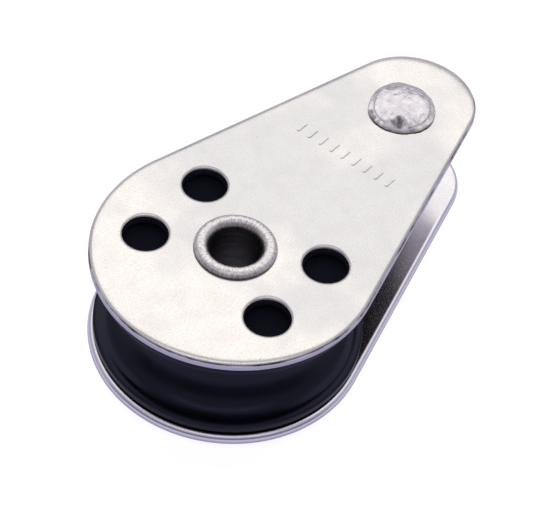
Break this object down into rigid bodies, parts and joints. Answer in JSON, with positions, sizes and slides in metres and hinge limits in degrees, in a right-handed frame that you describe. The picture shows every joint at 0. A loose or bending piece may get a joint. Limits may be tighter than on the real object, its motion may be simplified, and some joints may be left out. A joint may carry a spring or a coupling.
{
  "type": "single sheave block",
  "caption": "Small riveted line block: two teardrop steel cheeks, a grooved black sheave on a hollow tube axle, and a head pin across the narrow end.",
  "frame": {"origin": "on the surface the block lies on, under the middle of its length and width", "axes": "+X along the block from the sheave towards the head pin, +Y across it, +Z square to the cheeks, from the lower cheek to the upper"},
  "size_m": [0.0528, 0.03, 0.016],
  "materials": {
    "cheek_steel": "stamped stainless sheet, tumbled to a fine satin",
    "rivet_steel": "stainless, turned and cold formed, with hammer and roller marks",
    "sheave_nylon": "black moulded nylon, half gloss"
  },
  "bodies": {
    "block_frame": {"upper_cheek_plate": "cheek_steel", "lower_cheek_plate": "cheek_steel", "axle_tube": "rivet_steel", "axle_sleeve": "rivet_steel", "head_pin": "rivet_steel", "head_distance_tube": "rivet_steel"},
    "sheave": {"sheave": "sheave_nylon"}
  },
  "joints": [
    {"name": "sheave_spin", "type": "hinge", "parent": "block_frame", "child": "sheave", "pos_m": [-0.0114, 0, 0.00765], "axis": [0, 0, 1], "continuous": true}
  ]
}
